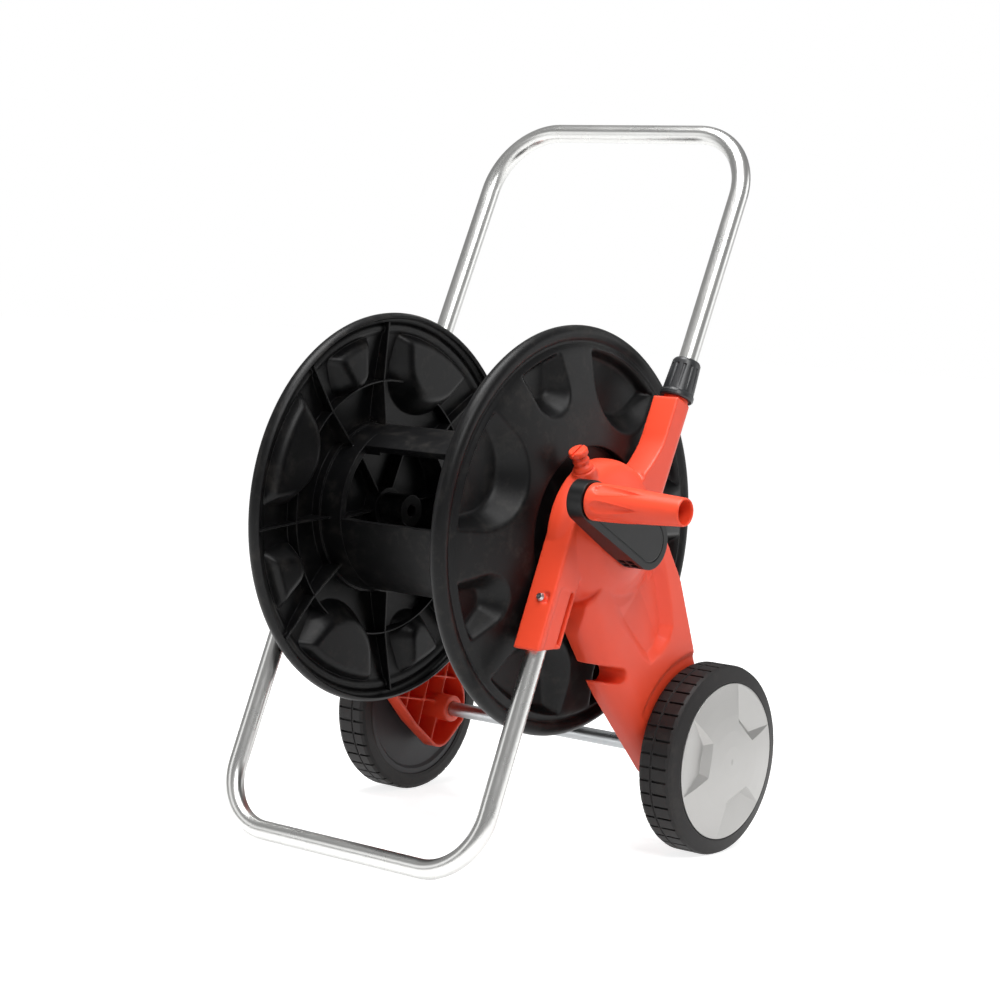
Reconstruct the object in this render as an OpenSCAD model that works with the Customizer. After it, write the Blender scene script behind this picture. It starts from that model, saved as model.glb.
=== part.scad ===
// Garden hose reel cart
// A two-wheeled cart with a crank-driven hose reel, a U-shaped stand and a telescopic handle.
// +X is the crank side, -Y the front with the stand, +Y the back with the wheels and handle, +Z up.
// The origin is the point of the floor under the middle of the reel. All sizes are millimetres.

/* [Reel] */
// Diameter of the two flanges
flange_d = 420; // [390:2:440]
// Clear width between the flange rims, where the hose winds
reel_w = 226; // [160:2:260]
// Height of the reel's axis above the floor
reel_z = 336; // [325:1:350]
// Outside diameter of the drum
drum_d = 180; // [164:2:196]
// Thickness of the drum panels and of the flange rings that carry them
drum_t = 8; // [6:0.5:10]
// Arc covered by one of the drum panels, in degrees
panel_arc = 65; // [50:1:85]
// How far a flange's hub face stands outside its rim
hub_out = 37; // [32:1:42]
// Radius of the round recess in a flange's hub face
recess_r = 89; // [84:1:91]
// Depth of that recess
recess_depth = 10; // [8:0.5:12]
// Wall thickness of the flanges
flange_wall = 3.5; // [2.5:0.25:4.5]
// Width of the rolled rim
rim_w = 16; // [12:1:20]

/* [Flange pockets] */
// Radius at which the pockets end, next to the rim
pocket_out_r = 190; // [182:1:192]
// Distance from the reel's axis to the centre of a large pocket's round tip
large_tip_at = 128; // [122:1:136]
// Radius of a large pocket's round tip
large_tip_r = 24; // [18:1:28]
// Angle between a large pocket's side and its centre line, in degrees
large_side = 28; // [18:1:32]
// Distance from the reel's axis to the centre of a small pocket's round tip
small_tip_at = 144; // [138:1:156]
// Radius of a small pocket's round tip
small_tip_r = 11; // [8:1:14]
// Angle between a small pocket's side and its centre line, in degrees
small_side = 20; // [10:1:24]
// Draft of the pocket walls, in degrees
pocket_draft = 16; // [8:1:20]
// Turn of the pocket pattern about the reel's axis, in degrees
pocket_turn = 68; // [0:1:89]

/* [Side frames] */
// Width of the tube arms across the cart
arm_w = 31; // [29:0.5:34]
// Depth of the leg moulding across the cart
frame_depth = 37; // [35:0.5:42]
// Wall thickness of the mouldings
frame_wall = 3; // [2:0.25:4]
// Clearance between a flange's hub face and its side frame
frame_gap = 3; // [2:0.5:6]
// Radius of the round hub housing
hub_r = 78; // [75:0.5:82]
// How far the hub's domed face stands outside the leg
dome_rise = 10; // [6:0.5:12]
// Outside radius of the bearing boss in the hub
bearing_boss_r = 25; // [23:0.5:28]
// Radius of the leg's rounded front edge
leg_round = 26; // [12:1:30]
// Width of the hose notch in the leg
notch_w = 16; // [12:0.5:20]
// Depth of the sunk panel in the leg's face, at its rear edge
panel_sink = 7.5; // [3:0.5:9]
// Thickness of the stiffening ribs
rib_t = 2; // [1.5:0.25:3]

/* [Tubes] */
// Outside diameter of the handle and stand tubes
tube_d = 20; // [18:0.5:21]
// Wall thickness of the tubes
tube_wall = 1.2; // [0.8:0.1:2]
// Height of the handle's grip bar with the handle pulled out
handle_h = 756; // [720:2:800]
// Lean of the handle from the vertical, in degrees
handle_lean = 23; // [21:0.5:24]
// Distance of the handle tubes behind the reel's axis
handle_offset = 48; // [47:0.5:52]
// Centre-line radius of the handle's bends
handle_bend = 73; // [60:1:80]
// How far the handle slides into the cart
handle_travel = 180; // [120:5:180]
// Lean of the stand from the vertical, in degrees
stand_lean = 21; // [19:0.5:23]
// Distance of the stand tubes in front of the reel's axis
stand_offset = 55; // [53:0.5:58]
// Centre-line radius of the stand's bends
stand_bend = 63; // [50:1:75]
// Length of the stand tube held in its socket
socket_depth = 88; // [70:1:90]

/* [Wheels] */
// Wheel diameter
wheel_d = 200; // [190:2:206]
// Tyre width
tyre_w = 39; // [30:1:42]
// Distance of the axle behind the reel's axis
axle_y = 154; // [150:1:160]
// Axle diameter
axle_d = 16; // [14:0.5:17]
// Diameter of the wheel cap
cap_d = 164; // [156:1:168]
// How far the wheel cap bulges
cap_bulge = 8; // [5:0.5:10]
// Number of tread blocks round the tyre
tread_n = 44; // [24:1:48]
// Depth of the tread grooves
tread_depth = 2.5; // [1:0.25:3]

/* [Crank] */
// Distance from the reel's axis to the grip's axis
crank_len = 109; // [90:1:118]
// Thickness of the crank arm
crank_t = 25; // [18:0.5:28]
// Direction of the crank at rest, in degrees above the front horizontal
crank_angle = 23.5; // [-180:0.5:180]
// Radius of the arm round the reel's axis
crank_hub_r = 28; // [26:0.5:32]
// Radius of the arm round the grip
crank_end_r = 20.5; // [20:0.5:24]
// Length of the grip
grip_len = 107; // [90:1:130]
// Diameter of the grip at the crank
grip_d = 37; // [34:0.5:40]
// Diameter of the grip's open end
grip_end_d = 27; // [26:0.5:32]

/* [Water path] */
// Diameter of the spindle's journals
journal_d = 34; // [30:0.5:36]
// Bore of the water passages
water_d = 10; // [8:0.5:11]
// Direction of the inlet, in degrees in front of the vertical
inlet_angle = 32; // [26:1:36]
// Distance from the reel's axis to the top of the inlet's plug
inlet_top = 104; // [102:1:114]
// Outside diameter of the inlet's neck
inlet_d = 17; // [16:0.5:20]
// Outside diameter of the outlet nipple that the hose is pushed on
outlet_d = 15; // [14:0.5:16]
// Length of the outlet nipple
outlet_len = 26; // [20:1:30]

/* [Collars] */
// Length of a lock collar
collar_len = 43; // [36:1:48]
// Largest diameter of a lock collar
collar_d = 36; // [35:0.5:38]
// Diameter of a lock collar at its top
collar_top_d = 28; // [26.5:0.5:30]
// Number of finger flutes on a collar
collar_flutes = 12; // [8:1:16]

/* [Hidden] */

$fn = 64;
red = "#e2503f";
black = "#26272a";
silver = "#c9cac8";
steel = "#a9abad";

// Clearances
slip = 0.1;       // a piece seated in another
run = 0.08;       // a journal in its bearing, on the radius
free = 0.3;       // between pieces that slide or turn past each other
eps = 0.01;       // overlap that makes a cut clean

// Places along X, on the right-hand side
x_rim = reel_w / 2;
x_face = x_rim + hub_out;
x_floor = x_face - recess_depth;
x_in = x_face + frame_gap;
x_tube = x_in + arm_w / 2;
x_out = x_in + frame_depth;
x_dome = x_out + dome_rise;
x_crank = x_dome + 2;
x_grip = x_crank + crank_t;
washer_t = 2;
well_sink = 3;    // how far the wheel stands in its round step in the leg
x_well = x_out - well_sink;
x_wheel = x_well + washer_t + 2 * slip;

wheel_r = wheel_d / 2;
tube_r = tube_d / 2;
drum_r = drum_d / 2;
flange_r = flange_d / 2;
journal_r = journal_d / 2;
axle_r = axle_d / 2;
grip_pos = [-crank_len * cos(crank_angle), reel_z + crank_len * sin(crank_angle)];

// Places along the tubes, measured from the reel's axis up the tube
handle_top = (handle_h - reel_z + handle_offset * sin(handle_lean)) / cos(handle_lean);
collar_top = handle_top - handle_bend - handle_travel - 10;
collar_base = collar_top - collar_len;
arm_top = collar_base - 4;
handle_end = collar_base - 92;
stand_bar = (tube_r - reel_z - stand_offset * sin(stand_lean)) / cos(stand_lean);
socket_z = 229;
socket_mid = (socket_z - reel_z - stand_offset * sin(stand_lean)) / cos(stand_lean);
stand_top = socket_mid + socket_depth;
screw_at = socket_mid + 48;

// ---------- helpers ----------

function unit(v) = v / norm(v);
function left_of(v) = [-v[1], v[0]];
// The polygon with every side moved inwards by d; the points run counter-clockwise
function inset(p, d) = [for (k = [0 : len(p) - 1])
  let (a = p[(k + len(p) - 1) % len(p)], b = p[k], c = p[(k + 1) % len(p)],
    m = left_of(unit([b[0] - a[0], b[1] - a[1]])), n = left_of(unit([c[0] - b[0], c[1] - b[1]])),
    q = [b[0], b[1]] + d * (m + n) / (1 + m * n))
  [q[0], q[1], max(b[2] - d, 0.5)]];
// The polygon with its corners rounded; each point is [y, z, radius]
function rounded(p, steps = 6) = [for (k = [0 : len(p) - 1])
  let (a = p[(k + len(p) - 1) % len(p)], b = p[k], c = p[(k + 1) % len(p)],
    u = unit([a[0] - b[0], a[1] - b[1]]), v = unit([c[0] - b[0], c[1] - b[1]]),
    half = acos(u * v) / 2, mid = [b[0], b[1]] + unit(u + v) * b[2] / sin(half),
    from = [b[0], b[1]] + u * b[2] / tan(half) - mid,
    turn = (u[0] * v[1] - u[1] * v[0] < 0 ? 1 : -1) * (180 - 2 * half),
    start = atan2(from[1], from[0]))
  for (i = [0 : steps]) mid + b[2] * [cos(start + turn * i / steps), sin(start + turn * i / steps)]];

// Extrudes a Y-Z outline from x0 to x1
module plate(x0, x1) { translate([x0, 0, 0]) rotate([90, 0, 90]) linear_extrude(x1 - x0) children(); }
// Turns an outline of [radius, x] points about an axis along X through [y, z]
module turned(at) { translate([0, at[0], at[1]]) rotate([0, 90, 0]) rotate_extrude($fn = 96) children(); }
module rod(x0, x1, r, at) { translate([x0, at[0], at[1]]) rotate([0, 90, 0]) cylinder(h = x1 - x0, r = r); }
module both_sides() { children(); mirror([1, 0, 0]) children(); }
// Space whose z runs up the handle tubes, and whose origin is on the reel's axis
module handle_space() { translate([0, 0, reel_z]) rotate([-handle_lean, 0, 0]) children(); }
module stand_space() { translate([0, 0, reel_z]) rotate([-stand_lean, 0, 0]) children(); }
// Space whose z runs outwards through the inlet
module inlet_space() { translate([x_tube + 1.5, 0, reel_z]) rotate([inlet_angle, 0, 0]) children(); }
// Space at the reel's axis whose z runs along +X and whose y points at angle a, measured from +Y towards +Z
module spoke(a) { translate([0, 0, reel_z]) rotate([90, 0, 90]) rotate(a - 90) children(); }
hub = [0, reel_z];
axle_at = [axle_y, wheel_r];

// ---------- side frames ----------

// Corners of the leg in the leg's own space: x runs from the hub to the axle, y to the back
leg_run = [axle_y, wheel_r - reel_z];
leg_len = norm(leg_run);
leg_dir = leg_run / leg_len;
function leg_to_side(p) = [for (q = p)
  [q[0] * leg_dir[0] - q[1] * leg_dir[1], reel_z + q[0] * leg_dir[1] + q[1] * leg_dir[0], q[2]]];
// The leg's outline, front edge first: down from the hub, round the tip and back up the rear edge
leg_pts = leg_to_side([[30, -74, 8], [58, -84, 60], [leg_len - 140, -77, 300], [leg_len - 14, -51, 40],
  [leg_len + 42, -31, 22], [leg_len + 34, 22, 14], [leg_len + 8, 36, 30], [leg_len - 100, 53, 200], [100, 67, 80],
  [44, 65, 30], [10, 60, 8]]);

arm_front = 18;
arm_back = 15;
flare_top = arm_top - 45;    // where the arm starts to widen towards the hub
flare_out = 15;              // how much it widens

// Bar whose outer front edge is rounded; its front runs through two points of the leg's front edge
module round_front(low, high, d, x0, x1) {
  r = leg_round - d;
  up = high - low;
  translate([0, low[0], low[1]]) rotate([atan2(-up[0], up[1]), 0, 0]) translate([0, 0, -300]) linear_extrude(800)
    polygon([[x1, 300], [x0, 300], [x0, d + 0.2], for (a = [0 : 10 : 90]) [x1 - r + r * sin(a), d + 0.2 + r * (1 - cos(a))]]);
}
module leg_solid(d, x0, x1) {
  p = [for (q = leg_pts) [q[0], q[1]]];
  intersection() {
    plate(x0, x1) polygon(rounded(inset(leg_pts, d)));
    round_front(p[2], p[1], d, x0 - 1, x1);
    round_front(p[3], p[2], d, x0 - 1, x1);
    round_front(p[4], p[3], d, x0 - 1, x1);
  }
}

// The handle's arm: a flat front, a round back, and a flare where it meets the hub
module handle_arm() {
  handle_space() translate([0, handle_offset, 0]) {
    translate([0, 0, -20]) linear_extrude(arm_top + 20) intersection() {
      translate([x_in, -arm_front]) square([arm_w, arm_front + arm_back]);
      union() {
        translate([x_in, -arm_front]) square([arm_w, arm_front]);
        translate([x_tube, 0]) circle(r = arm_w / 2);
      }
    }
    translate([x_in, 0, 0]) rotate([90, 0, 90]) linear_extrude(arm_w)
      polygon([[0, flare_top], for (t = [0 : 0.125 : 1]) [-arm_front - flare_out * pow(t, 1.7), flare_top - 46 * t],
        [-arm_front - flare_out, 20], [0, 20]]);
  }
}

// The stand's socket: a square tube that is cut off level
socket_front = 17;
module stand_socket() {
  intersection() {
    stand_space() translate([x_in, -stand_offset - socket_front, socket_mid - 30]) cube([arm_w, 2 * socket_front, 160]);
    translate([x_in - 1, -200, socket_z]) cube([arm_w + 2, 220, 200]);
  }
}

// Hub housing: a round cup whose domed face runs out into the leg
cup_in = x_in + 1;
module hub_dome(d) {
  rise = x_out - x_tube + 2 - d;
  turned(hub) polygon([[0, cup_in - d], [hub_r - 2 - d, cup_in - d], [hub_r - d, cup_in + 2 - d],
    [hub_r - d, x_tube - 4], for (a = [10 : 10 : 60]) [hub_r - d - 26 * (1 - cos(a)), x_tube - 4 + rise * sin(a)],
    [crank_hub_r + 14, x_dome - 3.5 - d], [crank_hub_r + 4, x_dome - 0.5 - d], [crank_hub_r + 2, x_dome - d],
    [0, x_dome - d]]);
}

module frame_body() {
  leg_solid(0, x_in, x_out);
  hub_dome(0);
  stand_socket();
  handle_arm();
}

// Hollow of the frame, open to the reel's side
module frame_hollow() {
  leg_solid(frame_wall, x_in - 1, x_out - frame_wall);
  hub_dome(frame_wall);
}

// Notch that parks the hose end: a round seat behind a mouth that widens upwards
notch_at = leg_to_side([[129, -62, 0]])[0];
module notch_outline(d) {
  r = notch_w / 2 + d;
  translate([notch_at[0], notch_at[1]]) rotate(-6) {
    circle(r = r, $fn = 48);
    polygon([[0, -r], [0, r], [-20, r + 1], [-60, r + 5], [-60, -r]]);
  }
}

// Panel sunk into the leg's face: its floor slopes down from the front line to the rear wall
panel_top = [[-8, 4, 3], [128, 0, 12], [144, 14, 10], [146, 42, 10], [128, 54, 14], [20, 96, 4]];
panel_low = [[-8, 4, 2], [106, 4, 3], [120, 20, 8], [122, 44, 4], [20, 92, 4]];
module panel_space() { translate([x_out, panel_at[0], panel_at[1]]) rotate([90, 0, 90]) rotate(-45) children(); }
panel_at = leg_to_side([[15, -49, 0]])[0];
module sunk_panel(d) {
  difference() {
    panel_space() hull() {
      translate([0, 0, 0.5 - d]) linear_extrude(0.5 + d) polygon(rounded(inset(panel_top, -d), 4));
      rotate([-atan(panel_sink / 44), 0, 0]) translate([0, 0, -d]) linear_extrude(0.1) polygon(rounded(inset(panel_low, -d), 4));
    }
    hub_dome(d);
  }
}

// Shallow round step round the wheel
well_r = wheel_r + 6;
module wheel_well(d) {
  turned(axle_at) polygon([[0, x_well - d], [well_r + d, x_well - d], [well_r + 8 + d, x_out + 1], [0, x_out + 1]]);
}

module frame_ribs() {
  intersection() {
    leg_solid(frame_wall / 2, x_in + 4, x_out - frame_wall / 2);
    for (s = [84 : 38 : leg_len + 30]) for (a = [-1, 1])
      plate(x_in, x_out) translate([s * leg_dir[0], reel_z + s * leg_dir[1]])
        rotate(atan2(leg_dir[1], leg_dir[0]) + 90 + a * 42) square([240, rib_t], center = true);
  }
}

bearing_in = x_floor + 3.5;
module side_frame(with_inlet) {
  difference() {
    union() {
      difference() {
        frame_body();
        wheel_well(0);
        difference() {
          frame_hollow();
          // backing of the sunk panel and of the notch
          sunk_panel(frame_wall);
          plate(x_in - 2, x_out + 1) notch_outline(frame_wall);
          wheel_well(frame_wall);
        }
      }
      difference() {
        frame_ribs();
        plate(x_in - 2, x_out + 1) polygon(rounded(leg_to_side([[-60, -90, 5], [92, -90, 5], [92, 90, 5], [-60, 90, 5]])));
        wheel_well(frame_wall / 2);
      }
      intersection() {
        hub_dome(frame_wall / 2);
        for (k = [0 : 7]) spoke(k * 45) translate([-rib_t / 2, bearing_boss_r - 1, x_in + 2]) cube([rib_t, hub_r, 60]);
      }
      // sleeve round the stand tube and the two bearing bosses
      stand_space() translate([x_tube, -stand_offset, socket_mid + 8]) cylinder(h = socket_depth - 4, r = arm_w / 2 - 0.5);
      rod(bearing_in, x_dome - eps, bearing_boss_r, hub);
      rod(x_in - 12, x_well, axle_r + 7, axle_at);
      if (with_inlet) inlet_space() cylinder(h = hub_r + 3, r = inlet_d / 2 + 4);
    }
    // tubes
    stand_space() translate([x_tube, -stand_offset, socket_mid - 60]) cylinder(h = socket_depth + 60 + slip, r = tube_r + slip);
    handle_space() translate([x_tube, handle_offset, handle_end - handle_travel - 4])
      cylinder(h = arm_top - handle_end + handle_travel + 10, r = tube_r + free);
    handle_space() translate([x_tube, handle_offset, arm_top - collet_depth - slip]) cylinder(h = 60, r = collet_r + slip);
    // reel and axle bearings
    rod(bearing_in - 1, x_dome + 1, journal_r + run, hub);
    rod(x_in - 20, x_out + 1, axle_r + slip, axle_at);
    if (with_inlet) inlet_space() {
      translate([0, 0, journal_r - 2]) cylinder(h = 100, r = water_d / 2);
      translate([0, 0, hub_r - 13]) cylinder(h = 40, r = inlet_d / 2 + slip);
    }
    // hose notch and sunk panel
    plate(x_in - 2, x_out + 1) notch_outline(0);
    sunk_panel(0);
    // stand screw: a through hole, a slot for its head and a pocket for its nut
    stand_space() translate([x_tube, -stand_offset, screw_at]) {
      rotate([90, 0, 0]) cylinder(h = 60, r = screw_r + slip, center = true);
      difference() {
        translate([-5, -socket_front - 1, -5.5]) cube([15, 5, 11]);
        rotate([90, 0, 0]) cylinder(h = 60, r = 4.6, center = true);
      }
      translate([-nut_w / 2 - slip, socket_front - 5, -nut_w / 2 - slip]) cube([nut_w + 2 * slip, 20, nut_w + 2 * slip]);
    }
    // the socket's outer face: a shallow flat over the tube's sleeve and a deep slot behind it
    stand_space() translate([x_in + arm_w, -stand_offset, socket_mid]) {
      rotate([90, 0, 90]) translate([0, 0, -1.5]) linear_extrude(10)
        polygon(rounded([[8 - socket_front, -60, 1], [11, -60, 1], [11, 64, 1], [8 - socket_front, 64, 8]]));
      translate([-12, 11, 9]) cube([20, 3.5, 55]);
    }
  }
}
module side_frame_right() { color(red) side_frame(true); }
module side_frame_left() { color(red) mirror([1, 0, 0]) side_frame(false); }

// ---------- tubes ----------

// A U of tube: the cross bar lies at z = 0 and the legs run down to z = -leg
module tube_u(r, bend, leg) {
  rod(bend - x_tube, x_tube - bend, r, [0, 0]);
  both_sides() {
    translate([x_tube - bend, 0, -bend]) rotate([90, 0, 0]) rotate_extrude(angle = 90) translate([bend, 0]) circle(r = r, $fn = 48);
    translate([x_tube, 0, -leg]) cylinder(h = leg - bend, r = r, $fn = 48);
  }
}
module hollow_u(bend, leg) {
  difference() {
    tube_u(tube_r, bend, leg);
    tube_u(tube_r - tube_wall, bend, leg + 1);
  }
}

screw_r = 2.5;
nut_w = 8;
module stand_loop() {
  color(silver) difference() {
    stand_space() translate([0, -stand_offset, stand_bar]) mirror([0, 0, 1]) hollow_u(stand_bend, stand_top - stand_bar);
    both_sides() stand_space() translate([x_tube, -stand_offset, screw_at])
      rotate([90, 0, 0]) cylinder(h = 40, r = screw_r + slip, center = true);
  }
}
module stand_screws() {
  color(steel) both_sides() stand_space() translate([x_tube, -stand_offset, screw_at]) rotate([90, 0, 0]) {
    translate([0, 0, 1 - socket_front]) cylinder(h = 2 * socket_front, r = screw_r);
    difference() {
      translate([0, 0, socket_front + slip]) cylinder(h = 3, r1 = 4.4, r2 = 3);
      for (a = [0, 90]) rotate(a) translate([-2.2, -0.5, socket_front + 1.8]) cube([4.4, 1, 4]);
    }
  }
}
module stand_nuts() {
  color(steel) both_sides() stand_space() translate([x_tube, -stand_offset, screw_at]) difference() {
    translate([-nut_w / 2, socket_front - 5 + slip, -nut_w / 2]) cube([nut_w, 4, nut_w]);
    rotate([90, 0, 0]) cylinder(h = 60, r = screw_r + slip, center = true);
  }
}

module handle_loop() {
  color(silver) handle_space() translate([0, handle_offset, handle_top]) hollow_u(handle_bend, handle_top - handle_end);
}
module handle_end_plugs() {
  color(black) both_sides() handle_space() translate([x_tube, handle_offset, handle_end]) {
    translate([0, 0, -2 - slip]) cylinder(h = 2, r = tube_r - 0.2);
    difference() {
      translate([0, 0, -2 - slip]) cylinder(h = 18, r = tube_r - tube_wall - slip);
      translate([0, 0, 2]) cylinder(h = 20, r = tube_r - tube_wall - 2.5);
    }
  }
}

// ---------- twist locks ----------

collet_r = 13.2;
collet_depth = 24;
module collet() {
  handle_space() translate([x_tube, handle_offset, 0]) difference() {
    union() {
      translate([0, 0, arm_top - collet_depth]) cylinder(h = collet_depth + 12, r = collet_r);
      translate([0, 0, arm_top + 12]) cylinder(h = collar_base + collar_len - 8 - arm_top - 12, r1 = collet_r, r2 = collet_r - 1.2);
    }
    translate([0, 0, arm_top - collet_depth - 1]) cylinder(h = collet_depth + 80, r = tube_r + free);
    // slits that let the fingers close on the tube
    for (a = [0, 60, 120]) rotate(a) translate([-20, -0.75, arm_top + 14]) cube([40, 1.5, 60]);
  }
}
module collet_right() { color(red) collet(); }
module collet_left() { color(red) mirror([1, 0, 0]) collet(); }

module lock_collar() {
  handle_space() translate([x_tube, handle_offset, collar_base]) difference() {
    rotate_extrude() polygon([[0, 0], [collar_d / 2 - 1, 0], [collar_d / 2, 1.5], [collar_d / 2, 5], [collar_d / 2 - 1.2, 7],
      [collar_top_d / 2 + 1, collar_len - 3], [collar_top_d / 2, collar_len - 1], [collar_top_d / 2 - 1, collar_len], [0, collar_len]]);
    translate([0, 0, -1]) cylinder(h = collar_len - 8 + free + 1, r = collet_r + free);
    translate([0, 0, -1]) cylinder(h = collar_len + 2, r = tube_r + free);
    for (k = [0 : collar_flutes - 1]) rotate(k * 360 / collar_flutes)
      translate([collar_d / 2 + 0.6, 0, 9]) rotate([0, -atan((collar_d - collar_top_d) / 2 / collar_len), 0])
        cylinder(h = collar_len - 16, r = 2.2, $fn = 24);
  }
}
module lock_collar_right() { color(black) lock_collar(); }
module lock_collar_left() { color(black) mirror([1, 0, 0]) lock_collar(); }

// ---------- flanges and drum ----------

// Height of a flange's outer face above its rim at radius r: a shallow dome
function face_x(r) = x_rim + rim_w - 1 + (hub_out - rim_w + 1) * (1 - pow((r - recess_r) / (flange_r - rim_w / 2 - recess_r), 1.4));
face_steps = 10;
face_rs = [for (i = [0 : face_steps]) recess_r + (flange_r - rim_w / 2 - recess_r) * i / face_steps];
module flange_outer_outline() {
  polygon([for (r = face_rs) [r, face_x(r)], [flange_r - rim_w / 2, x_rim], [0, x_rim], [0, x_floor], [recess_r, x_floor]]);
  translate([flange_r - rim_w / 2, x_rim + rim_w / 2]) circle(r = rim_w / 2, $fn = 48);
  translate([flange_r - rim_w / 2, x_rim]) square(rim_w / 2);
}
inner_r = recess_r + flange_wall;
module flange_inner_outline() {
  polygon([for (r = face_rs) [max(r, inner_r), face_x(max(r, inner_r)) - flange_wall],
    [flange_r - rim_w / 2, x_rim - 20], [0, x_rim - 20], [0, x_floor - flange_wall], [inner_r, x_floor - flange_wall]]);
  translate([flange_r - rim_w / 2, x_rim + rim_w / 2]) circle(r = rim_w / 2 - flange_wall, $fn = 48);
  translate([flange_r - rim_w / 2 - 2, x_rim - 20]) square([rim_w / 2 - flange_wall + 2, 20 + rim_w / 2]);
}

// One scooped pocket with a round tip, spreading sides and drafted walls; g makes it larger all round.
// Here y runs from the reel's axis outwards and z out of the flange's face.
module pocket(tip_at, tip_r, side, g) {
  h = 60;
  tan_d = tan(pocket_draft);
  r0 = tip_r - 8 + g;
  intersection() {
    cylinder(h = h, r1 = pocket_out_r - 6 + g, r2 = pocket_out_r - 6 + g + h * tan_d, $fn = 96);
    union() {
      translate([0, tip_at, 0]) cylinder(h = h, r1 = r0, r2 = r0 + h * tan_d, $fn = 48);
      intersection() {
        translate([0, tip_at - r0 * sin(side), 0]) rotate([atan(tan_d * sin(side)), 0, 0]) translate([-200, 0, -60]) cube([400, 300, 200]);
        translate([-200, 0, 0]) cube([400, 300, h]);
        intersection_for (m = [0, 1]) mirror([m, 0, 0]) translate([0, tip_at, 0]) rotate([0, 0, -side]) rotate([0, pocket_draft, 0])
          translate([r0 * cos(pocket_draft) - 400, -400, -200]) cube([400, 800, 400]);
      }
    }
  }
}

pocket_floor = 4;
module pockets(g) {
  for (k = [0 : 3]) {
    spoke(pocket_turn + 90 * k) translate([0, 0, x_rim + pocket_floor - g]) pocket(large_tip_at, large_tip_r, large_side, g);
    spoke(pocket_turn + 45 + 90 * k) translate([0, 0, x_rim + pocket_floor - g])
      pocket(small_tip_at, small_tip_r + 2, small_side, g);
  }
}

ring_rib_r = 137;
module flange_ribs() {
  intersection() {
    turned(hub) polygon([[drum_r - 1, x_rim + 10], [ring_rib_r, x_rim + 13], [flange_r - rim_w / 2 - 1, x_rim + 5],
      for (k = [face_steps : -1 : 1]) [face_rs[k] - 1, face_x(face_rs[k]) - 1], [drum_r - 1, x_face - 1.5]]);
    union() {
      for (k = [0 : 3]) for (a = [27, 63]) spoke(pocket_turn + a + 90 * k)
        translate([-rib_t / 2, drum_r - 2, x_rim - 20]) cube([rib_t, flange_r, 100]);
      difference() {
        rod(x_rim, x_face, ring_rib_r + rib_t / 2, hub);
        rod(x_rim - 1, x_face + 1, ring_rib_r - rib_t / 2, hub);
      }
    }
  }
}

ring_in = x_rim - 5;             // inner end of the ring that carries the drum panels
sleeve_r = journal_r + 5;
sleeve_in = x_rim + 7;
drum_screw_at = drum_r - drum_t - 6;
panel_angles = [97.5, 217.5, 337.5];
module flange() {
  difference() {
    union() {
      difference() {
        turned(hub) flange_outer_outline();
        turned(hub) flange_inner_outline();
      }
      intersection() {
        turned(hub) flange_outer_outline();
        pockets(flange_wall - 0.5);
      }
      flange_ribs();
      turned(hub) polygon([[drum_r - drum_t, ring_in], [drum_r, ring_in], [drum_r, x_floor], [drum_r - drum_t, x_floor]]);
      rod(sleeve_in, x_floor, sleeve_r, hub);
      for (a = panel_angles) for (b = [30, 90]) spoke(a + b)
        translate([-rib_t / 2, sleeve_r - 1, sleeve_in + 4]) cube([rib_t, drum_r - drum_t - sleeve_r + 2, x_floor - sleeve_in - 5]);
    }
    pockets(0);
    rod(sleeve_in - 1, x_floor + 1, journal_r + slip, hub);
    for (a = panel_angles) spoke(a) translate([0, drum_screw_at, x_floor - 20]) cylinder(h = 30, r = 2.2, $fn = 24);
  }
}
module flange_right() { color(black) flange(); }
module flange_left() { color(black) mirror([1, 0, 0]) flange(); }

// A curved panel with a tongue at each end that seats in the flange rings
tongue_t = 4;
boss_end = x_floor - flange_wall - slip;
module drum_panel(a) {
  r_in = drum_r - drum_t;
  half = [[r_in, 0], [r_in, ring_in - 16], [r_in - tongue_t, ring_in - 16], [r_in - tongue_t, ring_in + 14],
    [r_in - slip, ring_in + 14], [r_in - slip, ring_in - slip], [drum_r, ring_in - slip], [drum_r, 0]];
  color(black) spoke(a) difference() {
    union() {
      for (m = [0, 1]) mirror([0, 0, m]) {
        rotate(90 - panel_arc / 2) rotate_extrude(angle = panel_arc, $fn = 96) polygon(half);
        translate([0, drum_screw_at, ring_in - 14]) cylinder(h = boss_end - ring_in + 14, r = 4, $fn = 32);
      }
    }
    for (m = [0, 1]) mirror([0, 0, m]) translate([0, drum_screw_at, boss_end - 16]) cylinder(h = 20, r = 1.6, $fn = 24);
  }
}
module drum_panel_top() { drum_panel(panel_angles[0]); }
module drum_panel_front() { drum_panel(panel_angles[1]); }
module drum_panel_rear() { drum_panel(panel_angles[2]); }
module drum_screws() {
  color(steel) both_sides() for (a = panel_angles) spoke(a) translate([0, drum_screw_at, 0]) {
    translate([0, 0, boss_end - 12]) cylinder(h = x_floor - boss_end + 12 + 1, r = 1.5, $fn = 24);
    translate([0, 0, x_floor + slip]) cylinder(h = 2, r1 = 4, r2 = 2.6, $fn = 32);
  }
}

// ---------- spindle, journal and water path ----------

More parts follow.
